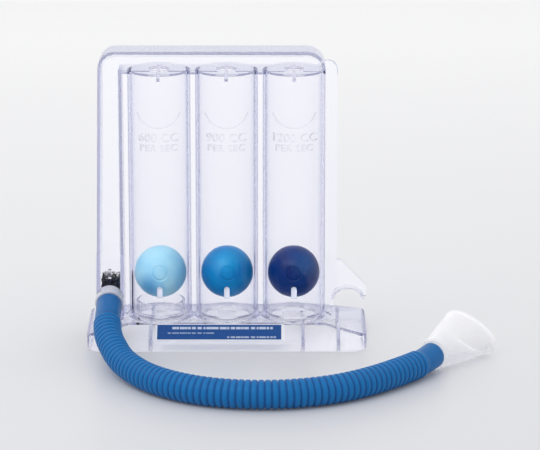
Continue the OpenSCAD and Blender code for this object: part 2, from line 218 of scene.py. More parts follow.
def shown(material, share, usual, other):
    """Shows the other shader in place of the usual one, by the share that comes in."""
    nodes = material.node_tree.nodes
    links = material.node_tree.links
    choice = nodes.new("ShaderNodeMixShader")
    links.new(share, choice.inputs["Fac"])
    links.new(usual.outputs["BSDF"], choice.inputs[1])
    links.new(other.outputs["BSDF"], choice.inputs[2])
    links.new(choice.outputs["Shader"], nodes["Material Output"].inputs["Surface"])


def flare(share):
    """Width and depth of the mouthpiece at a share of its length."""
    eased = share * share * (3 - 2 * share)
    wide = mouth_root_d + (mouth_w - mouth_root_d) * (share + eased) / 2
    return wide, mouth_root_d + (mouth_h - mouth_root_d) * share


lip = (mouth_w + 2 * mouth_bead, mouth_h + 2 * mouth_bead)
mouth_stations = [
    (-spigot_l, spigot_d, spigot_d),
    (-spigot_l + mouth_corner, spigot_d, spigot_d),
    (-mouth_corner, spigot_d, spigot_d),
    (0, spigot_d + mouth_corner, spigot_d + mouth_corner),
    (mouth_corner / 4, mouth_root_d - 2 * mouth_corner, mouth_root_d - 2 * mouth_corner),
    (2 * mouth_corner, *flare(0)),
]
mouth_stations += [(mouth_l * share, *flare(share)) for share in (0.12, 0.3, 0.5, 0.7, 0.86)]
mouth_stations += [
    (mouth_l - 5 * mouth_corner, *flare(0.97)),
    (mouth_l - 4 * mouth_corner, *lip),
    (mouth_l, *lip),
]
mouthpiece = bridged_ovals("mouthpiece_moulding", mouth_stations, mouth_sides)
for vertex in mouthpiece.data.vertices:
    share = min(max(vertex.co.z / mouth_l, 0), 1)
    power = 1 + (mouth_square - 1) * share
    wide, deep = flare(share)
    angle = math.atan2(vertex.co.y / deep, vertex.co.x / wide)
    squarer = abs(math.cos(angle)) ** power, abs(math.sin(angle)) ** power
    rounder = max(abs(math.cos(angle)), 1e-6), max(abs(math.sin(angle)), 1e-6)
    vertex.co.x *= squarer[0] / rounder[0]
    vertex.co.y *= squarer[1] / rounder[1]
applied(mouthpiece, "SOLIDIFY", thickness=spigot_wall, offset=-1, use_even_offset=True)
applied(mouthpiece, "SUBSURF", levels=2, render_levels=2)
mouth_side = mouth_line.cross(Vector((0, 0, 1))).normalized()
mouth_up = mouth_side.cross(mouth_line)
mouth_x = math.cos(mouth_roll) * mouth_side - math.sin(mouth_roll) * mouth_up
mouth_y = mouth_line.cross(mouth_x)
mouthpiece.matrix_world = Matrix.Translation(mouth_foot + mouth_gap * mouth_line) @ Matrix(
    (mouth_x, mouth_y, mouth_line)
).transposed().to_4x4()
alone(mouthpiece)
bpy.ops.object.transform_apply(location=True, rotation=True, scale=True)
smoothed(mouthpiece, 60)

milky, skin, mottle = new_plastic(
    "milky_soft_plastic", grain_scale=900, mottle_scale=60, depth=0.00003
)
skin.inputs["Roughness"].default_value = 0.3
skin.inputs["IOR"].default_value = 1.5
turned = edge_on(milky, 0.4)
tint = blended(milky, mottle, *milky_tints)
milky.node_tree.links.new(tint, skin.inputs["Base Color"])
nodes = milky.node_tree.nodes
place = nodes.new("ShaderNodeTexCoord")
along = nodes.new("ShaderNodeVectorMath")
along.operation = "DOT_PRODUCT"
along.inputs[1].default_value = mouth_line
milky.node_tree.links.new(place.outputs["Object"], along.inputs[0])
lip_start = mouth_foot.dot(mouth_line) + mouth_gap + mouth_l - lip_band
lip_from = lip_start - mouth_corner
lip_to = lip_start + mouth_corner
at_lip = steered(milky, along.outputs["Value"], lip_from, lip_to, 0, 1)
# Emission along the lip band and where the mouthpiece is seen edge on: painted highlight.
glow = reckoned(milky, "MULTIPLY_ADD", at_lip, lip_painted_highlight, steered(milky, turned, 0.45, 0.9, 0, mouth_edge_painted_highlight))
milky.node_tree.links.new(glow, skin.inputs["Emission Strength"])
skin.inputs["Emission Color"].default_value = (1, 1, 1, 1)
haze = reckoned(milky, "MULTIPLY_ADD", at_lip, lip_haze, steered(milky, turned, 0.2, 0.9, 0.1, 0.8))
path = nodes.new("ShaderNodeLightPath")
shade = steered(milky, path.outputs["Is Shadow Ray"], 0, 1, 1, mouth_shade)
haze = reckoned(milky, "MULTIPLY", haze, shade)
shown(milky, haze, passed(milky, milky_passed), skin)
mouthpiece.data.materials.clear()
mouthpiece.data.materials.append(milky)
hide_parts("mouthpiece")
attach(mouthpiece, "mouthpiece")

# Corrugated hose
# Blown soft polyethylene, blue all through, with rings along it and a smooth cuff at each end.
# One cuff is pushed over the port of the body and the other over the spigot of the mouthpiece.
hose_d = 0.0135
hose_valley = 0.0011
hose_pitch = 0.00305
hose_bore_d = 0.01
ring_phases = (0.02, 0.1, 0.2, 0.34, 0.5, 0.66, 0.8, 0.9)
ring_flat = 3
ring_round = 0.6
cuff_d = 0.0123
cuff_round = 0.0003
cuff_port_l = 0.02
cuff_mouth_l = 0.014
hose_sides = 48
route_steps = 24
hose_shadow_passed = 0.5
end_darkening = 0.3
cuff_darkening = 0.2
bore_painted_shade = 0.6
crest_blues = ((0.007, 0.145, 0.40), (0.011, 0.172, 0.47))
valley_painted_shade = (0.010, 0.04, 0.20)
bore_steps = 80
hose_route = [
    Vector((x / 1000, y / 1000, z / 1000))
    for x, y, z in [
        (-57.2, -15, 20.6), (-57.2, -24.8, 18.7), (-57.1, -34.6, 16.8), (-56.2, -45, 14.2),
        (-53.5, -55.5, 11.6), (-48, -69.5, 8.4), (-38, -86, 7), (-25.5, -100, 6.9),
        (-11, -109.5, 6.9), (5, -114.5, 6.9), (21, -115.5, 6.9), (35, -113.2, 6.9),
        (49, -108, 6.9), (63, -98.8, 6.9), (77, -85.3, 6.9), (90.7, -68.7, 6.9), (98.3, -57, 7.8),
    ]
]


def route_curve(points, steps):
    """Points of a smooth curve through the route's points."""
    line = []
    for i in range(len(points) - 1):
        a = points[max(i - 1, 0)]
        b = points[i]
        c = points[i + 1]
        d = points[min(i + 2, len(points) - 1)]
        for k in range(steps):
            t = k / steps
            bend = (2 * a - 5 * b + 4 * c - d) + t * (3 * b - a - 3 * c + d)
            line.append(b + 0.5 * t * ((c - a) + t * bend))
    return line + [points[-1]]


class Route:
    """A line that can be read at any distance along it."""

    def __init__(self, line):
        self.line = line
        self.along = [0.0]
        for a, b in zip(line, line[1:]):
            self.along.append(self.along[-1] + (b - a).length)
        self.length = self.along[-1]

    def at(self, s):
        s = min(max(s, 0.0), self.length)
        low, high = 0, len(self.along) - 1
        while high - low > 1:
            middle = (low + high) // 2
            if self.along[middle] <= s:
                low = middle
            else:
                high = middle
        share = (s - self.along[low]) / (self.along[high] - self.along[low])
        return self.line[low].lerp(self.line[high], share)

    def heading(self, s, reach=0.0016):
        return (self.at(s + reach) - self.at(s - reach)).normalized()


def lofted_tube(name, rings, values):
    """A closed mesh of rings of points, each joined to the next and the last to the first."""
    sides = len(rings[0])
    mesh = bpy.data.meshes.new(name)
    faces = []
    for i in range(len(rings)):
        for k in range(sides):
            a = i * sides + k
            b = i * sides + (k + 1) % sides
            c = ((i + 1) % len(rings)) * sides + (k + 1) % sides
            d = ((i + 1) % len(rings)) * sides + k
            faces.append((a, b, c, d))
    mesh.from_pydata([p for ring in rings for p in ring], [], faces)
    shade = mesh.attributes.new("shade", "FLOAT", "POINT")
    shade.data.foreach_set("value", [v for v in values for _ in range(sides)])
    piece = bpy.data.objects.new(name, mesh)
    bpy.context.scene.collection.objects.link(piece)
    alone(piece)
    bpy.ops.object.mode_set(mode="EDIT")
    bpy.ops.mesh.select_all(action="SELECT")
    bpy.ops.mesh.normals_make_consistent(inside=False)
    bpy.ops.object.mode_set(mode="OBJECT")
    mesh.shade_smooth()
    return piece


hose_line = Route(route_curve(hose_route, route_steps))


def hose_ring(s, radius):
    """One ring of points square to the hose."""
    centre = hose_line.at(s)
    heading = hose_line.heading(s)
    side = heading.cross(Vector((0, 0, 1))).normalized()
    up = side.cross(heading)
    turns = [math.tau * k / hose_sides for k in range(hose_sides)]
    return [centre + radius * (math.cos(a) * up + math.sin(a) * side) for a in turns]


hose_end = hose_line.length
hose_ribbed_l = hose_end - cuff_port_l - cuff_mouth_l
hose_ribs = int(hose_ribbed_l / hose_pitch)
hose_step = hose_ribbed_l / hose_ribs
crest_r = hose_d / 2
cuff_r = cuff_d / 2
lip_r = cuff_r - cuff_round
lip_l = 0.0004
hose_stations = [(0.0, lip_r, end_darkening), (lip_l, cuff_r, cuff_darkening)]
hose_stations += [(cuff_port_l * k / 8, cuff_r, cuff_darkening) for k in range(1, 8)]
for i in range(hose_ribs):
    for phase in ring_phases:
        off = abs(phase - 0.5) * 2
        sunk = 1 - (1 - off ** ring_flat) ** ring_round
        hose_stations.append((cuff_port_l + (i + phase) * hose_step, crest_r - hose_valley * sunk, sunk))
hose_stations += [(hose_end - cuff_mouth_l * k / 6, cuff_r, cuff_darkening) for k in range(6, 0, -1)]
hose_stations += [(hose_end - lip_l, cuff_r, cuff_darkening), (hose_end, lip_r, end_darkening)]
hose_rings = [hose_ring(s, r) for s, r, shade in hose_stations]
hose_painted_shades = [shade for s, r, shade in hose_stations]
for k in range(bore_steps + 1):
    hose_rings.append(hose_ring(hose_end * (1 - k / bore_steps), hose_bore_d / 2))
    hose_painted_shades.append(bore_painted_shade)
hose = lofted_tube("hose_tube", hose_rings, hose_painted_shades)

hose_plastic, skin, mottle = new_plastic(
    "blue_hose_plastic", grain_scale=1400, mottle_scale=55, depth=0.00004
)
skin.inputs["IOR"].default_value = 1.5
skin.inputs["Specular IOR Level"].default_value = 0.14
# The shade value darkens the valleys between the rings and the bore as painted shade, and darkens the cuffs
# and their ends a little.
shade = hose_plastic.node_tree.nodes.new("ShaderNodeAttribute")
shade.attribute_name = "shade"
crest = blended(hose_plastic, mottle, *crest_blues)
tone = blended(hose_plastic, shade.outputs["Fac"], crest, valley_painted_shade)
hose_plastic.node_tree.links.new(tone, skin.inputs["Base Color"])
gloss = steered(hose_plastic, mottle, 0.3, 0.7, 0.33, 0.43)
hose_plastic.node_tree.links.new(gloss, skin.inputs["Roughness"])
path = hose_plastic.node_tree.nodes.new("ShaderNodeLightPath")
fainter = reckoned(hose_plastic, "MULTIPLY", path.outputs["Is Shadow Ray"], hose_shadow_passed)
shown(hose_plastic, fainter, skin, passed(hose_plastic, (1, 1, 1)))
hose.data.materials.append(hose_plastic)
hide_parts("hose")
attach(hose, "body")

# Clear body
# Two clear styrene mouldings, front and rear, welded along the plane between them.
# The chambers run out into the deck in small fillets, and the mould leaves every edge a little round.
# The plastic's tint gathers through its thickness, and its colour is painted darker on the plate's edges
# and round the duct as painted edge shade; light seats, lit up with painted light, hold the balls.
body_merge = 2e-6
body_edge = 0.00025
flat_angle = math.radians(0.5)
sharp_angle = 30
duct_front_y = 0.009
duct_back_y = 0.0115
duct_wall = 0.0016
duct_front_round = 0.003
duct_back_round = 0.0026
duct_round_z = 0.045
duct_end_x = 0.06
duct_bore_end_x = 0.0375
rim_angle = math.radians(60)
rim_facing = 0.99
soft_merge = 0.0001
soft_aside = 0.3
soft_share = 0.4
soft_least = 0.3
soft_attempts = 7
fold_area = 1e-8
fold_share = 0.01
fold_reach = 0.0009
fold_growth = 0.6
chamber_places = (-0.0326, 0, 0.0326)
chamber_r = 0.0152
deck_z = 0.0118
foot_r = 0.0024
foot_sunk = 0.001
foot_steps = 7
foot_turns = 96
chamber_bore_r = 0.0133
wall_reach = 0.00005
wall_facing = 0.85
walls_seen = 7
mirrors_seen = 1.5
depth_colour = (0.55, 0.565, 0.75)
rim_colour = (0.3, 0.34, 0.5)
plate_x = 0.0485
plate_z = 0.0165
plate_y = 0.00145
plate_face_darkening = 0.04
plate_rim_tint = 1
duct_top_z = 0.1405
duct_side_x = -0.0618
duct_rim_tint = 0.22
side_facing = 0.95
seat_half_w = 0.0015
seat_reach = 0.0121
seat_bore_r = 0.0132
seat_low_z = 0.0236
seat_high_z = 0.0292
seat_whites = ((0.9, 0.94, 1), (1, 1, 1))
seat_painted_light = 0.16
point_digits = 8


def merged_copy(node, name):
    """A copy of a CAD node with its loose triangles joined into one closed mesh."""
    piece = bpy.data.objects.new(name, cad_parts[node].data.copy())
    bpy.context.scene.collection.objects.link(piece)
    piece.data.materials.clear()
    alone(piece)
    bpy.ops.object.mode_set(mode="EDIT")
    bpy.ops.mesh.select_all(action="SELECT")
    bpy.ops.mesh.remove_doubles(threshold=body_merge)
    bpy.ops.object.mode_set(mode="OBJECT")
    return piece


def in_order(piece):
    """Puts the points and faces of a spun piece in one fixed order, as spin leaves another each time."""
    points = [tuple(round(value, point_digits) for value in vertex.co) for vertex in piece.data.vertices]
    order = sorted(range(len(points)), key=lambda i: points[i])
    place = {old: new for new, old in enumerate(order)}
    faces = []
    for face in piece.data.polygons:
        ring = [place[i] for i in face.vertices]
        first = ring.index(min(ring))
        faces.append(ring[first:] + ring[:first])
    piece.data = bpy.data.meshes.new(piece.name)
    piece.data.from_pydata([points[i] for i in order], [], sorted(faces))


def spun(name, outline, turns, centre, closed=True):
    """A piece turned about an upright line from an outline of (radius, height) points."""
    bpy.ops.object.select_all(action="DESELECT")
    bpy.ops.mesh.primitive_circle_add(vertices=len(outline), radius=1)
    piece = bpy.context.object
    piece.name = name
    for vertex, (r, z) in zip(piece.data.vertices, outline):
        vertex.co = Vector(centre) + Vector((r, 0, z))
    ends = {0, len(outline) - 1}
    for edge in piece.data.edges:
        edge.select = set(edge.vertices) == ends
    for vertex in piece.data.vertices:
        vertex.select = False
    bpy.ops.object.mode_set(mode="EDIT")
    if not closed:
        bpy.ops.mesh.select_mode(type="EDGE")
        bpy.ops.mesh.delete(type="EDGE")
        bpy.ops.mesh.select_mode(type="VERT")
    bpy.ops.mesh.select_all(action="SELECT")
    bpy.ops.mesh.spin(steps=turns, angle=math.tau, center=centre, axis=(0, 0, 1))
    bpy.ops.mesh.select_all(action="SELECT")
    bpy.ops.mesh.remove_doubles(threshold=body_merge)
    bpy.ops.mesh.normals_make_consistent(inside=False)
    bpy.ops.object.mode_set(mode="OBJECT")
    in_order(piece)
    return piece


def united(piece, other):
    """Welds another piece into this one and takes the other away."""
    applied(piece, "BOOLEAN", operation="UNION", solver="EXACT", object=other)
    bpy.data.objects.remove(other)


def folded_corners(mesh):
    """The corners of the faces that a bevel has turned over on themselves."""
    mesh.calc_loop_triangles()
    covered = [0] * len(mesh.polygons)
    for triangle in mesh.loop_triangles:
        covered[triangle.polygon_index] += triangle.area
    corners = []
    for face, area in zip(mesh.polygons, covered):
        if area - face.area > max(fold_area, fold_share * face.area):
            corners += [mesh.vertices[i].co.copy() for i in face.vertices]
    return corners


def room_beside(edge, most):
    """How far a bevel may reach from an edge before it meets the next one."""
    room = most
    run = (edge.verts[1].co - edge.verts[0].co).normalized()
    for corner in edge.verts:
        for other in corner.link_edges:
            away = other.other_vert(corner).co - corner.co
            off = (away - run * away.dot(run)).length
            if off > soft_aside * away.length:
                room = min(room, off)
    return room


def softened(piece, width, sharp):
    """Rounds the sharp edges of a moulding, each as far as its neighbours leave room."""
    alone(piece)
    bpy.ops.object.mode_set(mode="EDIT")
    bpy.ops.mesh.select_all(action="SELECT")
    bpy.ops.mesh.remove_doubles(threshold=soft_merge)
    bpy.ops.mesh.dissolve_limited(angle_limit=flat_angle)
    bpy.ops.object.mode_set(mode="OBJECT")
    plain = piece.data
    folds = []
    for attempt in range(soft_attempts):
        mesh = bmesh.new()
        mesh.from_mesh(plain)
        weight = mesh.edges.layers.float.new("bevel_weight_edge")
        for edge in mesh.edges:
            if edge.calc_face_angle(0) > math.radians(sharp):
                share = room_beside(edge, width / soft_share) * soft_share / width
                clear = all((v.co - fold).length > reach for v in edge.verts for fold, reach in folds)
                edge[weight] = share if clear and share > soft_least else 0
        piece.data = plain.copy()
        mesh.to_mesh(piece.data)
        mesh.free()
        applied(piece, "BEVEL", width=width, segments=2, limit_method="WEIGHT", use_clamp_overlap=False)
        fresh = folded_corners(piece.data)
        if not fresh:
            break
        folds += [(fold, fold_reach * (1 + fold_growth * attempt)) for fold in fresh]
    smoothed(piece, sharp)
    applied(piece, "WEIGHTED_NORMAL", keep_sharp=True)


def rounded_rim(body, y, outer, radius, from_z, to_x):
    """Rounds the body's outer or inner edges at one depth, above from_z and left of to_x."""
    alone(body)
    bpy.ops.object.mode_set(mode="EDIT")
    bpy.ops.mesh.select_all(action="SELECT")
    bpy.ops.mesh.dissolve_limited(angle_limit=flat_angle)
    bpy.ops.mesh.select_all(action="SELECT")
    bpy.ops.mesh.bisect(plane_co=(0, 0, from_z), plane_no=(0, 0, 1))
    bpy.ops.mesh.select_all(action="SELECT")
    bpy.ops.mesh.bisect(plane_co=(to_x, 0, 0), plane_no=(1, 0, 0))
    mesh = bmesh.from_edit_mesh(body.data)
    for part in (mesh.faces, mesh.edges, mesh.verts):
        for piece in part:
            piece.select = False
    for edge in mesh.edges:
        turn = edge.calc_face_angle_signed(0) * (1 if outer else -1)
        level = all(abs(v.co.y - y) < body_merge for v in edge.verts)
        inside = all(v.co.z > from_z - body_merge and v.co.x < to_x + body_merge for v in edge.verts)
        front = any(abs(face.normal.y) > rim_facing for face in edge.link_faces)
        if turn > rim_angle and level and inside and front:
            edge.select = True
    mesh.select_flush_mode()
    bmesh.update_edit_mesh(body.data)
    bpy.ops.mesh.bevel(offset=radius, segments=6, profile=0.5, affect="EDGES", clamp_overlap=False)
    bpy.ops.object.mode_set(mode="OBJECT")


def trued_walls(body, radius, sign):
    """Turns the corner normals of the chambers' upright walls straight out from their middle lines."""
    normals = [Vector(corner.vector) for corner in body.data.corner_normals]
    for face in body.data.polygons:
        x = min(chamber_places, key=lambda place: abs(face.center.x - place))
        for loop in face.loop_indices:
            spot = body.data.vertices[body.data.loops[loop].vertex_index].co
            out = Vector((spot.x - x, spot.y, 0))
            straight = sign * out.normalized()
            if abs(out.length - radius) < wall_reach and straight.dot(face.normal) > wall_facing:
                normals[loop] = straight
    body.data.normals_split_custom_set(normals)


clear_body = merged_copy("front_shell", "clear_body")
rear_half = merged_copy("rear_shell", "rear_half")
for half in (clear_body, rear_half):
    for vertex in half.data.vertices:
        if abs(vertex.co.y) < body_merge:
            vertex.co.y = 0
united(clear_body, rear_half)
foot_in_r = chamber_r - foot_sunk / 2
foot_outline = [(foot_in_r, deck_z - foot_sunk), (foot_in_r, deck_z + foot_r)]
for k in range(foot_steps + 1):
    turn = math.pi / 2 * k / foot_steps
    foot_outline.append((chamber_r + foot_r * (1 - math.cos(turn)), deck_z + foot_r * (1 - math.sin(turn))))
foot_outline.append((chamber_r + foot_r, deck_z - foot_sunk))
for x in chamber_places:
    united(clear_body, spun("chamber_foot", foot_outline, foot_turns, (x, 0, 0)))
duct_front = (-duct_front_y, duct_wall, duct_front_round)
duct_back = (duct_back_y, -duct_wall, duct_back_round)
for y, inward, radius in (duct_front, duct_back):
    rounded_rim(clear_body, y, True, radius, duct_round_z, duct_end_x)
    rounded_rim(clear_body, y + inward, False, radius - duct_wall, duct_round_z, duct_bore_end_x)
softened(clear_body, body_edge, sharp_angle)
trued_walls(clear_body, chamber_r, 1)
trued_walls(clear_body, chamber_bore_r, -1)


def lets_shadow_through(material, skin, tint):
    """Shadows fall through tinted, and light that has been through many walls goes straight on."""
    path = material.node_tree.nodes.new("ShaderNodeLightPath")
    either = path.outputs["Is Shadow Ray"]
    for bounces, most in (("Transmission Depth", walls_seen), ("Glossy Depth", mirrors_seen)):
        deep = reckoned(material, "GREATER_THAN", path.outputs[bounces], most)
        either = reckoned(material, "MAXIMUM", either, deep)
    shown(material, either, skin, passed(material, tint))


def clear_plastic(name, face, edge, index, roughness, shadow, density):
    """Clear moulded plastic that gathers its tint through its thickness, with a darker colour painted where
    it is seen edge on: painted edge shade.
    """
    material, skin, mottle = new_plastic(name, grain_scale=160, mottle_scale=30, depth=0.000004)
    nodes = material.node_tree.nodes
    links = material.node_tree.links
    skin.inputs["Transmission Weight"].default_value = 1
    skin.inputs["IOR"].default_value = index
    skin.inputs["Roughness"].default_value = roughness
    skin.inputs["Coat Weight"].default_value = 0.25
    skin.inputs["Coat Roughness"].default_value = 0.03
    depth = nodes.new("ShaderNodeVolumeAbsorption")
    depth.inputs["Color"].default_value = (*depth_colour, 1)
    depth.inputs["Density"].default_value = density
    links.new(depth.outputs["Volume"], nodes["Material Output"].inputs["Volume"])
    # Darker where the plastic is seen edge on, and darker still on the marked edge faces: painted edge
    # shade.
    turned = steered(material, edge_on(material, 0.5), 0.46, 0.95, 0, 1)
    rim = nodes.new("ShaderNodeAttribute")
    rim.attribute_name = "rim"
    tint = blended(material, rim.outputs["Fac"], blended(material, turned, face, edge), rim_colour)
    links.new(tint, skin.inputs["Base Color"])
    lets_shadow_through(material, skin, shadow)
    return material


clear_styrene = clear_plastic(
    "clear_styrene", face=(1, 1, 1), edge=(0.75, 0.77, 0.91), index=1.12,
    roughness=0.01, shadow=(1, 1, 1), density=80,
)
seat_white, skin, mottle = new_plastic("seat_white", grain_scale=900, mottle_scale=80, depth=0.00002)
skin.inputs["Roughness"].default_value = 0.35
tint = blended(seat_white, mottle, *seat_whites)
seat_white.node_tree.links.new(tint, skin.inputs["Base Color"])
# Emission brightens the seats with their own white: painted light.
seat_white.node_tree.links.new(tint, skin.inputs["Emission Color"])
skin.inputs["Emission Strength"].default_value = seat_painted_light
clear_body.data.materials.append(clear_styrene)
clear_body.data.materials.append(seat_white)
# The plate's slanted edges are painted fully dark and its faces a little, and the duct's slanted top and
# side faces partly: painted edge shade.
on_rim = clear_body.data.attributes.new("rim", "FLOAT", "CORNER")
for face in clear_body.data.polygons:
    middle = face.center
    near = min(chamber_places, key=lambda x: abs(middle.x - x))
    out = math.hypot(middle.x - near, middle.y)
    in_line = abs(middle.x - near) < seat_half_w
    if in_line and seat_reach < out < seat_bore_r and seat_low_z < middle.z < seat_high_z:
        face.material_index = 1
    slanted = abs(face.normal.y) < side_facing
    rim_tint = 0
    if middle.x > plate_x and middle.z > plate_z and abs(middle.y) < plate_y:
        rim_tint = plate_rim_tint if slanted else plate_face_darkening
    elif middle.z > duct_top_z or (middle.x < duct_side_x and middle.z > plate_z):
        rim_tint = duct_rim_tint if slanted else 0
    for loop in face.loop_indices:
        on_rim.data[loop].value = rim_tint
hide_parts("front_shell", "rear_shell")
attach(clear_body, "body")

# Raised marks on the chambers
# Each chamber has the flow that lifts its ball moulded on its front in the same clear styrene,
# under a short arc. They stand up a fifth of a millimetre and are part of the front moulding.
mark_rise = 0.00022
mark_gap = 0.00002
arc_r = 0.0116
arc_z = 0.1196
arc_half = math.radians(68)
arc_wide = 0.0007
arc_steps = 40
row_places = (
    (0.1016, 0.0058, 1.05, ("600 CC", "900 CC", "1200 CC")),
    (0.0969, 0.0047, 1.1, ("PER SEC", "PER SEC", "PER SEC")),
)


def bent_on(piece, x):
    """Bends a flat mark, drawn in X and Z with its rise towards -Y, round the front of a chamber."""
    for vertex in piece.data.vertices:
        rise = chamber_r + mark_gap - vertex.co.y
        share = vertex.co.x / chamber_r
        vertex.co.x = x + rise * share
        vertex.co.y = -rise * math.sqrt(max(1 - share * share, 0))


arc_outline = (
    (arc_r - arc_wide, 0), (arc_r, 0), (arc_r - arc_wide, -mark_rise), (arc_r, -mark_rise),
)
marks = []
for i, x in enumerate(chamber_places):
    bpy.ops.object.select_all(action="DESELECT")
    bpy.ops.mesh.primitive_plane_add(size=1)
    arc = bpy.context.object
    for vertex, (r, y) in zip(arc.data.vertices, arc_outline):
        vertex.co = (r * math.sin(-arc_half), y, arc_z - r * math.cos(arc_half))
    bpy.ops.object.mode_set(mode="EDIT")
    bpy.ops.mesh.select_all(action="SELECT")
    bpy.ops.mesh.spin(steps=arc_steps, angle=2 * arc_half, center=(0, 0, arc_z), axis=(0, 1, 0))
    bpy.ops.mesh.select_all(action="SELECT")
    bpy.ops.mesh.normals_make_consistent(inside=False)
    bpy.ops.object.mode_set(mode="OBJECT")
    in_order(arc)
    bent_on(arc, x)
    marks.append(arc)
    for z, row_size, spread, words in row_places:
        bpy.ops.object.text_add(location=(0, 0, z), rotation=(math.pi / 2, 0, 0))
        row = bpy.context.object
        row.data.body = words[i]
        row.data.align_x = "CENTER"
        row.data.size = row_size
        row.data.extrude = mark_rise / 2
        row.data.space_character = spread
        bpy.ops.object.convert(target="MESH")
        row = bpy.context.object
        bpy.ops.object.transform_apply(location=True, rotation=True, scale=True)
        for vertex in row.data.vertices:
            vertex.co.y -= mark_rise / 2
        bent_on(row, x)
        marks.append(row)
bpy.ops.object.select_all(action="DESELECT")
for mark in marks:
    mark.select_set(True)
bpy.context.view_layer.objects.active = marks[0]
bpy.ops.object.join()
chamber_marks = bpy.context.object
chamber_marks.name = "chamber_marks"
alone(chamber_marks)
bpy.ops.object.mode_set(mode="EDIT")
bpy.ops.mesh.select_all(action="SELECT")
bpy.ops.mesh.remove_doubles(threshold=body_merge)
bpy.ops.mesh.normals_make_consistent(inside=False)
bpy.ops.object.mode_set(mode="OBJECT")
chamber_marks.data.materials.clear()
mark_plastic = clear_plastic(
    "raised_mark_plastic", face=(0.95, 0.95, 0.97), edge=(0.78, 0.8, 0.88), index=1.16,
    roughness=0.05, shadow=(0.99, 0.99, 1), density=110,
)
chamber_marks.data.materials.append(mark_plastic)
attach(chamber_marks, "body")

# Inlet discs
# A clear moulded disc lies on the ledge at the foot of each chamber, held between the two shells.
# Its hole sets the flow for that ball, and the left one carries a raised ring.
disc_plastic = clear_plastic(
    "clear_disc_plastic", face=(1, 1, 1), edge=(0.88, 0.89, 0.95), index=1.12,
    roughness=0.01, shadow=(1, 1, 1), density=40,
)
for side in ("left", "middle", "right"):
    disc = merged_copy("inlet_disc_" + side, "disc_" + side)
    softened(disc, body_edge, sharp_angle)
    disc.data.materials.append(disc_plastic)
    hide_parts("inlet_disc_" + side)
    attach(disc, "body")

# Port
# A milky moulded nipple, pressed through the front of the air channel.
# The hose is pushed over it and stops against its collar.
port_edge = 0.0004
port_tint_and_edge_shade = ((0.87, 0.9, 0.97), (0.58, 0.62, 0.8))
port_plastic, skin, mottle = new_plastic(
    "milky_port_plastic", grain_scale=700, mottle_scale=90, depth=0.00002
)
skin.inputs["Transmission Weight"].default_value = 0.3
skin.inputs["IOR"].default_value = 1.3
skin.inputs["Roughness"].default_value = 0.18
skin.inputs["Coat Weight"].default_value = 0.6
# Darker blue where seen edge on: painted edge shade.
tint = blended(port_plastic, edge_on(port_plastic, 0.3), *port_tint_and_edge_shade)
port_plastic.node_tree.links.new(tint, skin.inputs["Base Color"])
port = merged_copy("port_nipple", "port_collar")
softened(port, port_edge, sharp_angle)
port.data.materials.append(port_plastic)
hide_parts("port_nipple")
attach(port, "body")

# Filter
# A block of dark open-cell foam, cut to the foot of the air channel and held down by a small pin.
# Its cells are torn open on the outside, and most of all near its top.
foam_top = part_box("filter_foam")[1].z
foam_grain = 0.00045
foam_cell = 0.0011
foam_dent = 0.0009
foam_torn = 0.006
foam_walls_seen = 4.5
foam_darks = ((0.004, 0.006, 0.014), (0.04, 0.048, 0.08))
foam = merged_copy("filter_foam", "foam_block")
applied(foam, "REMESH", mode="VOXEL", voxel_size=foam_grain)
cells = bpy.data.textures.new("foam_cells", "VORONOI")
cells.noise_scale = foam_cell
cells.noise_intensity = 1.6
applied(foam, "DISPLACE", texture=cells, texture_coords="LOCAL", strength=-foam_dent, mid_level=0)
foam.data.shade_flat()
foam_dark, skin, mottle = new_plastic(
    "dark_open_foam", grain_scale=3000, mottle_scale=700, depth=0.0002
)
skin.inputs["Roughness"].default_value = 0.9
nodes = foam_dark.node_tree.nodes
links = foam_dark.node_tree.links
spread = steered(foam_dark, mottle, 0.4, 0.62, 0, 1)
tint = blended(foam_dark, spread, *foam_darks)
links.new(tint, skin.inputs["Base Color"])
where = nodes.new("ShaderNodeTexCoord")
holes = nodes.new("ShaderNodeTexNoise")
holes.inputs["Scale"].default_value = 850
holes.inputs["Detail"].default_value = 6
holes.inputs["Roughness"].default_value = 0.8
holes.inputs["Distortion"].default_value = 0.5
links.new(where.outputs["Object"], holes.inputs["Vector"])
height = nodes.new("ShaderNodeSeparateXYZ")
links.new(where.outputs["Object"], height.inputs["Vector"])
packed = steered(foam_dark, height.outputs["Z"], foam_top - foam_torn, foam_top, 0.16, -0.05)
packed = reckoned(foam_dark, "ADD", holes.outputs["Fac"], packed)
solid = steered(foam_dark, packed, 0.49, 0.52, 0, 1)
path = nodes.new("ShaderNodeLightPath")
direct = reckoned(foam_dark, "LESS_THAN", path.outputs["Transmission Depth"], foam_walls_seen)
links.new(reckoned(foam_dark, "MULTIPLY", solid, direct), skin.inputs["Alpha"])
foam.data.materials.clear()
foam.data.materials.append(foam_dark)
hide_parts("filter_foam")
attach(foam, "body")

# Balls
# Three light hollow balls, each moulded in its own blue and loose in its chamber.
# The mould leaves a round gate mark in front and a faint seam round the middle.
ball_r = 0.0127
gate_r = 0.0034
gate_deep = 0.00045
seam_deep = 0.00006
gate_half = 0.05
seam_half = 0.018
ball_steps = 72
ball_turns = 96
patch_near = 0.002
patch_far = 0.0085
patch_share = 0.8
# Each ball: the light and dark of its random mottle, a colour laid round a spot, the spot, and its lean.
# That colour is painted shade low on the left ball and a painted highlight high in front on the middle and
# right balls.
ball_looks = {
    "left": ((0.45, 0.82, 0.96), (0.28, 0.68, 0.93), (0.1, 0.42, 0.75), (-0.42, -0.8, -0.42), (0, -10)),
    "middle": ((0.002, 0.27, 0.60), (0, 0.19, 0.50), (0.01, 0.37, 0.70), (-0.05, -0.8, 0.6), (2, -10)),
    "right": ((0.001, 0.035, 0.20), (0, 0.018, 0.14), (0, 0.075, 0.27), (0.45, -0.7, 0.5), (-2, -9)),
}


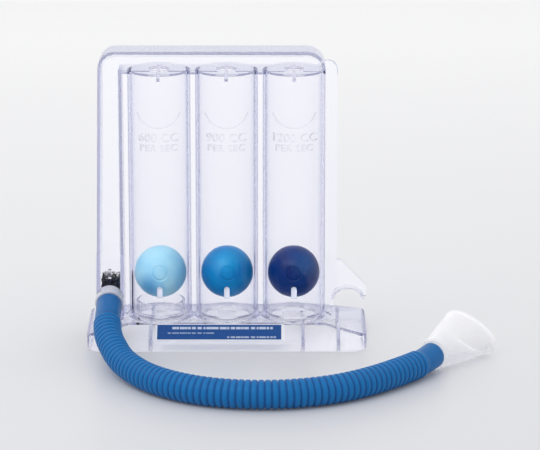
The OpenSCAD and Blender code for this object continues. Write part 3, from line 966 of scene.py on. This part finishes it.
def ball_outline():
    """Half the outline of a ball, with a groove round its gate mark and one at its seam."""
    outline = []
    gate = math.asin(gate_r / ball_r)
    angles = [math.pi * k / ball_steps for k in range(ball_steps + 1)]
    angles += [gate + off for off in (-0.05, -0.035, -0.02, 0, 0.02, 0.035, 0.05)]
    angles += [math.pi / 2 + off for off in (-0.02, -0.01, 0.01, 0.02)]
    for angle in sorted(angles):
        r = ball_r
        r -= gate_deep * max(0, 1 - abs(angle - gate) / gate_half)
        r -= seam_deep * max(0, 1 - abs(angle - math.pi / 2) / seam_half)
        outline.append((r * math.sin(angle), r * math.cos(angle)))
    outline[0] = (0, ball_r)
    outline[-1] = (0, -ball_r)
    return outline


for side, (light, dark, shade_and_highlight_patch, spot, lean) in ball_looks.items():
    low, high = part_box("ball_" + side)
    ball = spun("float_ball_" + side, ball_outline(), ball_turns, (0, 0, 0), closed=False)
    alone(ball)
    ball.rotation_euler = (math.radians(90 + lean[1]), 0, math.radians(lean[0]))
    ball.location = (low + high) / 2
    bpy.ops.object.transform_apply(location=True, rotation=True, scale=True)
    ball.data.shade_smooth()
    paint, skin, mottle = new_plastic(
        "ball_plastic_" + side, grain_scale=700, mottle_scale=90, depth=0.000008
    )
    tint = blended(paint, steered(paint, mottle, 0.35, 0.65, 0, 1), light, dark)
    # The colour round the spot is painted light: shade on the left ball, a highlight on the middle and
    # right balls.
    place = paint.node_tree.nodes.new("ShaderNodeTexCoord")
    off = paint.node_tree.nodes.new("ShaderNodeVectorMath")
    off.operation = "DISTANCE"
    off.inputs[1].default_value = (low + high) / 2 + ball_r * Vector(spot)
    paint.node_tree.links.new(place.outputs["Object"], off.inputs[0])
    near = steered(paint, off.outputs["Value"], patch_near, patch_far, patch_share, 0)
    tint = blended(paint, near, tint, shade_and_highlight_patch)
    paint.node_tree.links.new(tint, skin.inputs["Base Color"])
    skin.inputs["Roughness"].default_value = 0.35
    skin.inputs["Specular IOR Level"].default_value = 0.2
    skin.inputs["Subsurface Weight"].default_value = 0.15
    skin.inputs["Subsurface Radius"].default_value = (0.3, 0.6, 1)
    skin.inputs["Subsurface Scale"].default_value = 0.002
    ball.data.materials.clear()
    ball.data.materials.append(paint)
    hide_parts("ball_" + side)
    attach(ball, "ball_" + side)

# Label
# A thin printed film, stuck on the front slope of the base.
# It is blue with a white border and has plain rules in place of words.
slope_rise = 0.007
slope_run = 0.0105
slope_a = math.atan2(slope_rise, slope_run)
slope_l = math.hypot(slope_rise, slope_run)
label_l = 0.0625
label_h = 0.0103
label_t = 0.00025
label_round = 0.0012
label_left = 0.003
base_y = 0.027
lip_h = 0.0048
border_blur = 0.002
rule_blur = 0.02
label_rules = (
    (0.69, 0.83, 0.12, 0.91, 0.8),
    (0.42, 0.49, 0.09, 0.45, 0.5),
    (0.16, 0.25, 0.55, 0.93, 0.65),
)
label_inks = ((0.006, 0.066, 0.26), (0.010, 0.08, 0.30))
label_border = (0.86, 0.87, 0.92)
label_passed = (0.95, 0.97, 1)
rule_colour = (0.72, 0.79, 0.93)
bpy.ops.object.select_all(action="DESELECT")
bpy.ops.mesh.primitive_plane_add(size=1, location=(0, 0, 0))
label = bpy.context.object
label.name = "label_film"
label.scale = (label_l, label_h, 1)
bpy.ops.object.transform_apply(scale=True)
bpy.ops.object.mode_set(mode="EDIT")
bpy.ops.mesh.select_all(action="SELECT")
bpy.ops.mesh.bevel(offset=label_round, segments=6, affect="VERTICES")
bpy.ops.object.mode_set(mode="OBJECT")
applied(label, "SOLIDIFY", thickness=label_t * 0.8, offset=0)
slope_out = Vector((0, -math.sin(slope_a), math.cos(slope_a)))
slope_up = Vector((0, math.cos(slope_a), math.sin(slope_a)))
label.location = Vector((-label_left, -base_y, lip_h)) + slope_up * slope_l / 2 + slope_out * label_t / 2
label.rotation_euler = (slope_a, 0, 0)
alone(label)
bpy.ops.object.transform_apply(location=True, rotation=True, scale=True)
label_film, skin, mottle = new_plastic(
    "label_film", grain_scale=2500, mottle_scale=300, depth=0.00001
)
skin.inputs["Roughness"].default_value = 0.32
nodes = label_film.node_tree.nodes
links = label_film.node_tree.links
print_place = nodes.new("ShaderNodeUVMap")
print_place.uv_map = label.data.uv_layers[0].name
across = nodes.new("ShaderNodeSeparateXYZ")
links.new(print_place.outputs["UV"], across.inputs["Vector"])


def band(axis, low, high, blur):
    """One inside a band of the label and nothing outside it."""
    rise = steered(label_film, across.outputs[axis], low - blur, low + blur, 0, 1)
    fall = steered(label_film, across.outputs[axis], high - blur, high + blur, 1, 0)
    return reckoned(label_film, "MULTIPLY", rise, fall)


def box_on_label(start, stop, low, high, blur):
    """One inside a box on the label, in shares of its length and height."""
    return reckoned(label_film, "MULTIPLY", band("X", start, stop, border_blur), band("Y", low, high, blur))


print_area = box_on_label(0.008, 0.972, 0.06, 0.965, 0.012)
ink = blended(label_film, mottle, *label_inks)
tone = blended(label_film, print_area, label_border, ink)
words = nodes.new("ShaderNodeTexNoise")
words.noise_dimensions = "1D"
words.inputs["Scale"].default_value = 46
words.inputs["Detail"].default_value = 2
links.new(across.outputs["X"], words.inputs["W"])
dashes = steered(label_film, words.outputs["Fac"], 0.40, 0.46, 0.15, 1)
for low, high, start, stop, strength in label_rules:
    rule = reckoned(label_film, "MULTIPLY", box_on_label(start, stop, low, high, rule_blur), dashes)
    tone = blended(label_film, steered(label_film, rule, 0, 1, 0, strength), tone, rule_colour)
links.new(tone, skin.inputs["Base Color"])
skin.inputs["Specular IOR Level"].default_value = 0.3
path = nodes.new("ShaderNodeLightPath")
shown(label_film, path.outputs["Is Shadow Ray"], skin, passed(label_film, label_passed))
label.data.materials.clear()
label.data.materials.append(label_film)
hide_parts("label")
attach(label, "body")

# Table and light
# A plain pale table, painted a little darker near the eye as painted shade, under one wide soft light in an
# even white room.
# The clear plastic sees it lighter, as the table glows for rays through the plastic, and far off it glows
# faintly for the eye: painted light.
floor_size = 8
floor_near = -0.2
floor_far = 0.75
floor_colours = ((0.675, 0.68, 0.705), (0.94, 0.94, 0.95))
glow_through = (0.16, 0.2)
glow_direct = (0, 0.05)
sky_front = 0.62
sky_back = 0.95
lamp_place = Vector((-0.35, -0.6, 0.9))
lamp_aim = Vector((0, 0, 0.05))
bpy.ops.object.select_all(action="DESELECT")
bpy.ops.mesh.primitive_plane_add(size=floor_size, location=(0, 0, 0))
floor = bpy.context.object
floor.name = "floor"
floor_paint = bpy.data.materials.new("floor_paint")
floor_paint.use_nodes = True
nodes = floor_paint.node_tree.nodes
links = floor_paint.node_tree.links
paint = nodes["Principled BSDF"]
paint.inputs["Roughness"].default_value = 0.35
paint.inputs["Specular IOR Level"].default_value = 0.4
place = nodes.new("ShaderNodeTexCoord")
parts = nodes.new("ShaderNodeSeparateXYZ")
links.new(place.outputs["Object"], parts.inputs["Vector"])
# The table's colour runs darker towards the eye: painted shade.
fade = steered(floor_paint, parts.outputs["Y"], floor_near, floor_far, 0, 1)
tint = nodes.new("ShaderNodeValToRGB")
for stop, colour in zip(tint.color_ramp.elements, floor_colours):
    stop.color = (*colour, 1)
links.new(fade, tint.inputs["Fac"])
links.new(tint.outputs["Color"], paint.inputs["Base Color"])
# Emission where the table is seen through the plastic, and faintly far off for the eye: painted light.
seen = nodes.new("ShaderNodeLightPath")
glow = 0
for ray, (near, far) in (("Is Transmission Ray", glow_through), ("Is Camera Ray", glow_direct)):
    share = steered(floor_paint, fade, 0, 1, near, far)
    glow = reckoned(floor_paint, "MULTIPLY_ADD", seen.outputs[ray], share, glow)
links.new(glow, paint.inputs["Emission Strength"])
paint.inputs["Emission Color"].default_value = (1, 1, 1, 1)
floor.data.materials.append(floor_paint)

world = bpy.data.worlds.new("studio")
bpy.context.scene.world = world
world.use_nodes = True
nodes = world.node_tree.nodes
links = world.node_tree.links
sky = nodes.new("ShaderNodeTexCoord")
sides = nodes.new("ShaderNodeSeparateXYZ")
links.new(sky.outputs["Generated"], sides.inputs["Vector"])
back = steered(world, sides.outputs["Y"], -1, 0.4, sky_front, sky_back)
links.new(back, nodes["Background"].inputs["Strength"])
nodes["Background"].inputs["Color"].default_value = (1, 1, 1, 1)

lamp_data = bpy.data.lights.new("softbox", "AREA")
lamp_data.shape = "RECTANGLE"
lamp_data.size = 0.9
lamp_data.size_y = 0.6
lamp_data.energy = 4
lamp = bpy.data.objects.new("softbox", lamp_data)
lamp.location = lamp_place
lamp.rotation_euler = (lamp_aim - lamp_place).to_track_quat("-Z", "Y").to_euler()
bpy.context.scene.collection.objects.link(lamp)
